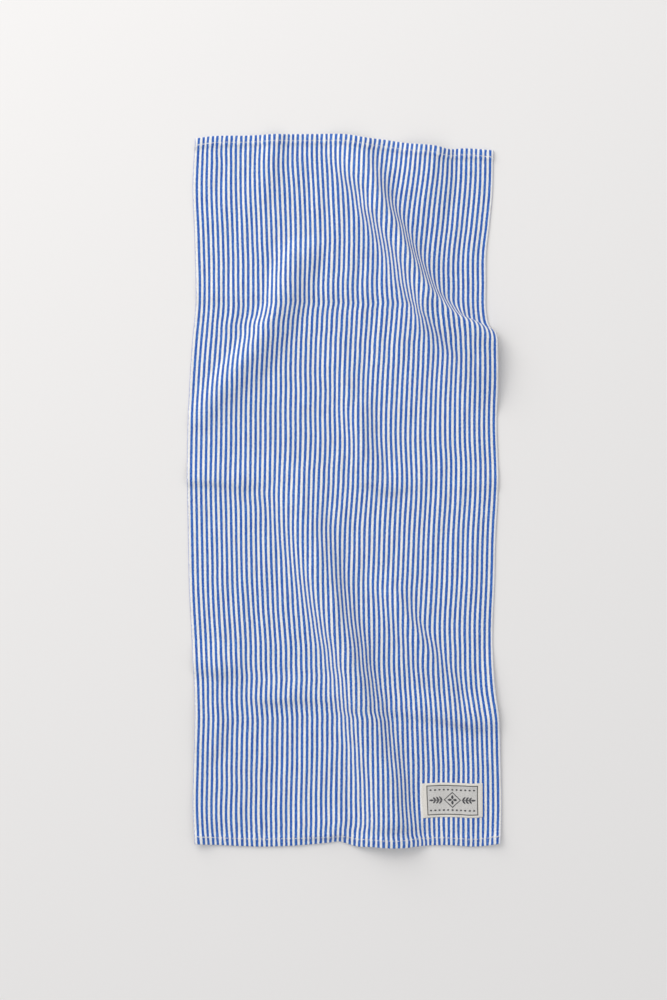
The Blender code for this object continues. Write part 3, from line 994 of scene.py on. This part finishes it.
def striped_linen():
    """Linen, plain woven from yarn-dyed warp and washed soft: matt, its stripes a little uneven, with thick
    places in the yarns that show as short light and dark flecks. Bleached linen is off-white."""
    made, tree = new_finish("yarn_dyed_washed_linen")
    lie = add(tree, "SeparateXYZ", add(tree, "UVMap", uv_map="yarns"))
    across, along = lie.outputs["X"], lie.outputs["Y"]
    noises = {}
    for name, across_size, along_size, detail in YARN_NOISES:
        x = add(tree, "Math", across, across_size, operation="DIVIDE")
        y = add(tree, "Math", along, along_size, operation="DIVIDE")
        place = add(tree, "CombineXYZ", x, y)
        noises[name] = add(
            tree, "TexNoise", place, noise_dimensions="2D", Scale=1.0, Detail=detail, Roughness=0.6
        )

    # How far each point is from the middle of the nearest blue stripe. The edge wavers as its yarns do.
    from_first = add(tree, "Math", across, FIRST_STRIPE, operation="SUBTRACT")
    off_middle = add(tree, "Math", from_first, STRIPE_PITCH / 2, operation="PINGPONG")
    waver = add(tree, "Math", noises["edge"], EDGE_WAVER, -EDGE_WAVER / 2, operation="MULTIPLY_ADD")
    off_edge = add(tree, "Math", off_middle, waver)
    white_share = add(
        tree,
        "MapRange",
        off_edge,
        STRIPE_WIDTH / 2 - STRIPE_BLUR,
        STRIPE_WIDTH / 2 + STRIPE_BLUR,
        interpolation_type="SMOOTHSTEP",
    )

    # Light flecks where the white weft shows between blue yarns, and grey ones between the white yarns.
    fleck = add(tree, "MapRange", noises["fleck"], 0.4, 0.62, interpolation_type="SMOOTHSTEP")
    slub = add(tree, "MapRange", noises["slub"], 0.42, 0.72, 0.0, 0.55, interpolation_type="SMOOTHSTEP")
    blue = add(tree, "Mix", fleck, linear("#1450B2"), linear("#5085CD"), data_type="RGBA")
    blue = add(tree, "Mix", slub, blue, linear("#1746A1"), data_type="RGBA")
    white = add(tree, "Mix", fleck, linear("#EFEDE9"), linear("#FDFCFA"), data_type="RGBA")
    white = add(tree, "Mix", slub, white, linear("#E0DCD5"), data_type="RGBA")
    colour = add(tree, "Mix", white_share, blue, white, data_type="RGBA")

    # The last warp yarns of each selvedge are a pale blue.
    to_right = add(tree, "Math", float(CLOTH_WIDTH), across, operation="SUBTRACT")
    to_side = add(tree, "Math", across, to_right, operation="MINIMUM")
    selvedge = add(
        tree, "MapRange", to_side, *SELVEDGE_END, 1.0, 0.0, interpolation_type="SMOOTHSTEP"
    )
    colour = add(tree, "Mix", selvedge, colour, linear("#D3D4E3"), data_type="RGBA")

    # The weave, drawn at its real spacing: sine waves across and along, whose product checks up and down as
    # yarns do that pass over and under each other.
    warp = add(tree, "Math", add(tree, "Math", across, YARN_TURN, operation="MULTIPLY"), operation="SINE")
    weft = add(tree, "Math", add(tree, "Math", along, YARN_TURN, operation="MULTIPLY"), operation="SINE")
    weave = add(tree, "Math", warp, weft, operation="MULTIPLY")
    rough_yarn = add(tree, "Math", weave, 0.4, noises["fleck"], operation="MULTIPLY_ADD")
    bump = add(tree, "Bump", Height=rough_yarn, Strength=0.5, Distance=YARN_RELIEF * MM)
    shader = add(
        tree,
        "BsdfPrincipled",
        Base_Color=colour,
        Roughness=0.92,
        IOR=1.5,
        Specular_IOR_Level=0.25,
        Sheen_Weight=0.15,
        Sheen_Roughness=0.6,
        Normal=bump,
    )
    add(tree, "OutputMaterial", shader)
    return made


def label_tape():
    """Cotton tape, woven as a satin: smoother than the linen, a cream border round a greyer field. A fine
    grey line frames the field, and specks of the dark weft show through it."""
    made, tree = new_finish("woven_cotton_tape")
    lie = add(tree, "UVMap", uv_map="tape")
    off = add(tree, "VectorMath", lie, operation="ABSOLUTE")
    beyond = add(tree, "VectorMath", off, (FRAME_WIDTH / 2, FRAME_HEIGHT / 2, 0), operation="SUBTRACT")
    beyond = add(tree, "SeparateXYZ", beyond)
    beyond = add(tree, "Math", beyond.outputs["X"], beyond.outputs["Y"], operation="MAXIMUM")
    border = add(tree, "MapRange", beyond, -STRIPE_BLUR, STRIPE_BLUR, interpolation_type="SMOOTHSTEP")
    from_line = add(tree, "Math", beyond, operation="ABSOLUTE")
    line = add(
        tree,
        "MapRange",
        from_line,
        FRAME_LINE / 2 - LINE_BLUR,
        FRAME_LINE / 2 + LINE_BLUR,
        1.0,
        0.0,
        interpolation_type="SMOOTHSTEP",
    )
    speck = add(
        tree, "TexNoise", lie, noise_dimensions="2D", Scale=SPECKS_PER_MM, Detail=2.0, Roughness=0.6
    )
    speck_share = add(tree, "MapRange", speck, 0.35, 0.7, interpolation_type="SMOOTHSTEP")
    field = add(tree, "Mix", speck_share, linear("#DAD8D5"), linear("#BEBCB9"), data_type="RGBA")
    cream = add(tree, "Mix", speck_share, linear("#EFEAE2"), linear("#DDD8D0"), data_type="RGBA")
    colour = add(tree, "Mix", border, field, cream, data_type="RGBA")
    colour = add(tree, "Mix", line, colour, linear("#52524F"), data_type="RGBA")
    up = add(tree, "SeparateXYZ", lie).outputs["Y"]
    rib = add(tree, "Math", add(tree, "Math", up, TAPE_RIB_TURN, operation="MULTIPLY"), operation="SINE")
    height = add(tree, "Math", rib, 0.4, speck, operation="MULTIPLY_ADD")
    bump = add(tree, "Bump", Height=height, Strength=0.4, Distance=TAPE_RELIEF * MM)
    shader = add(tree, "BsdfPrincipled", Base_Color=colour, Roughness=0.75, Sheen_Weight=0.1, Normal=bump)
    add(tree, "OutputMaterial", shader)
    return made


def spun_thread(name, code):
    """Spun polyester sewing thread: a soft lustre, and fibres that stand off it and break its colour up."""
    made, tree = new_finish(name)
    place = add(tree, "TexCoord").outputs["Object"]
    fuzz = add(tree, "TexNoise", place, Scale=1 / (FUZZ_SIZE * MM), Detail=2.0)
    colour = add(tree, "Mix", fuzz, linear(code), linear("#DDDCD8"), data_type="RGBA")
    shader = add(tree, "BsdfPrincipled", Base_Color=colour, Roughness=0.6, Sheen_Weight=0.2)
    add(tree, "OutputMaterial", shader)
    return made


def figure_thread():
    """Dark viscose weft that floats over the tape: a low sheen, its cover broken by the tape's pale warp."""
    made, tree = new_finish("dark_viscose_weft")
    place = add(tree, "TexCoord").outputs["Object"]
    cover = add(tree, "TexNoise", place, Scale=1 / (COVER_SIZE * MM), Detail=2.0)
    share = add(tree, "MapRange", cover, 0.4, 0.75, 0.0, 0.5, interpolation_type="SMOOTHSTEP")
    colour = add(tree, "Mix", share, linear("#33333A"), linear("#8A8A88"), data_type="RGBA")
    shader = add(tree, "BsdfPrincipled", Base_Color=colour, Roughness=0.5, Sheen_Weight=0.1)
    add(tree, "OutputMaterial", shader)
    return made


def make_stage():
    """A plain pale floor, painted and so matt and smooth, one large soft light from beyond the towel's top
    left corner, and an even sky."""
    mesh = bpy.data.meshes.new("floor")
    reach = FLOOR_REACH
    corners = [(-reach, -reach, 0), (reach, -reach, 0), (reach, reach, 0), (-reach, reach, 0)]
    mesh.from_pydata(corners, [], [(0, 1, 2, 3)])
    made, tree = new_finish("pale_painted_floor")
    shader = add(
        tree, "BsdfPrincipled", Base_Color=linear("#EFEDEC"), Roughness=0.9, Specular_IOR_Level=0.2
    )
    add(tree, "OutputMaterial", shader)
    mesh.materials.append(made)
    floor = bpy.data.objects.new("floor", mesh)
    bpy.context.scene.collection.objects.link(floor)

    lamp = bpy.data.lights.new("soft_window", "AREA")
    lamp.shape = "SQUARE"
    lamp.size = LIGHT_SIZE
    lamp.energy = LIGHT_POWER
    lamp.color = LIGHT_COLOUR
    light = bpy.data.objects.new("soft_window", lamp)
    light.location = LIGHT_PLACE
    light.rotation_euler = (Vector(LIGHT_AIM) - light.location).to_track_quat("-Z", "Y").to_euler()
    bpy.context.scene.collection.objects.link(light)

    world = bpy.data.worlds.new("even_sky")
    bpy.context.scene.world = world
    world.use_nodes = True
    sky = world.node_tree.nodes["Background"]
    sky.inputs["Color"].default_value = SKY_COLOUR
    sky.inputs["Strength"].default_value = SKY_STRENGTH


def make_camera():
    """Straight above the towel, whose place in the picture is a little right of and above the middle."""
    lens = bpy.data.cameras.new("camera")
    lens.sensor_width = SENSOR_WIDTH
    lens.lens = SENSOR_WIDTH * CAMERA_PLACE[2] / PICTURE_LENGTH
    camera = bpy.data.objects.new("camera", lens)
    camera.location = CAMERA_PLACE
    bpy.context.scene.collection.objects.link(camera)
    bpy.context.scene.camera = camera
    bpy.context.scene.view_settings.view_transform = "Standard"


def main():
    """The stage first, then the cloth that everything lies on, then the pieces, each attached to the root
    body, and the solids from model.glb hidden.
    """
    make_camera()
    make_stage()
    cloth = LaidCloth()
    towel = make_cloth(cloth)
    label = make_label(cloth)
    label_figure = make_label_figure(cloth)
    hem_stitches = make_hem_stitches(cloth)
    label_stitches = make_label_stitches(cloth)
    for piece in (towel, label, label_figure, hem_stitches, label_stitches):
        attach(piece, "root")
    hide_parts("towel_cloth")
    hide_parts("woven_label")


main()
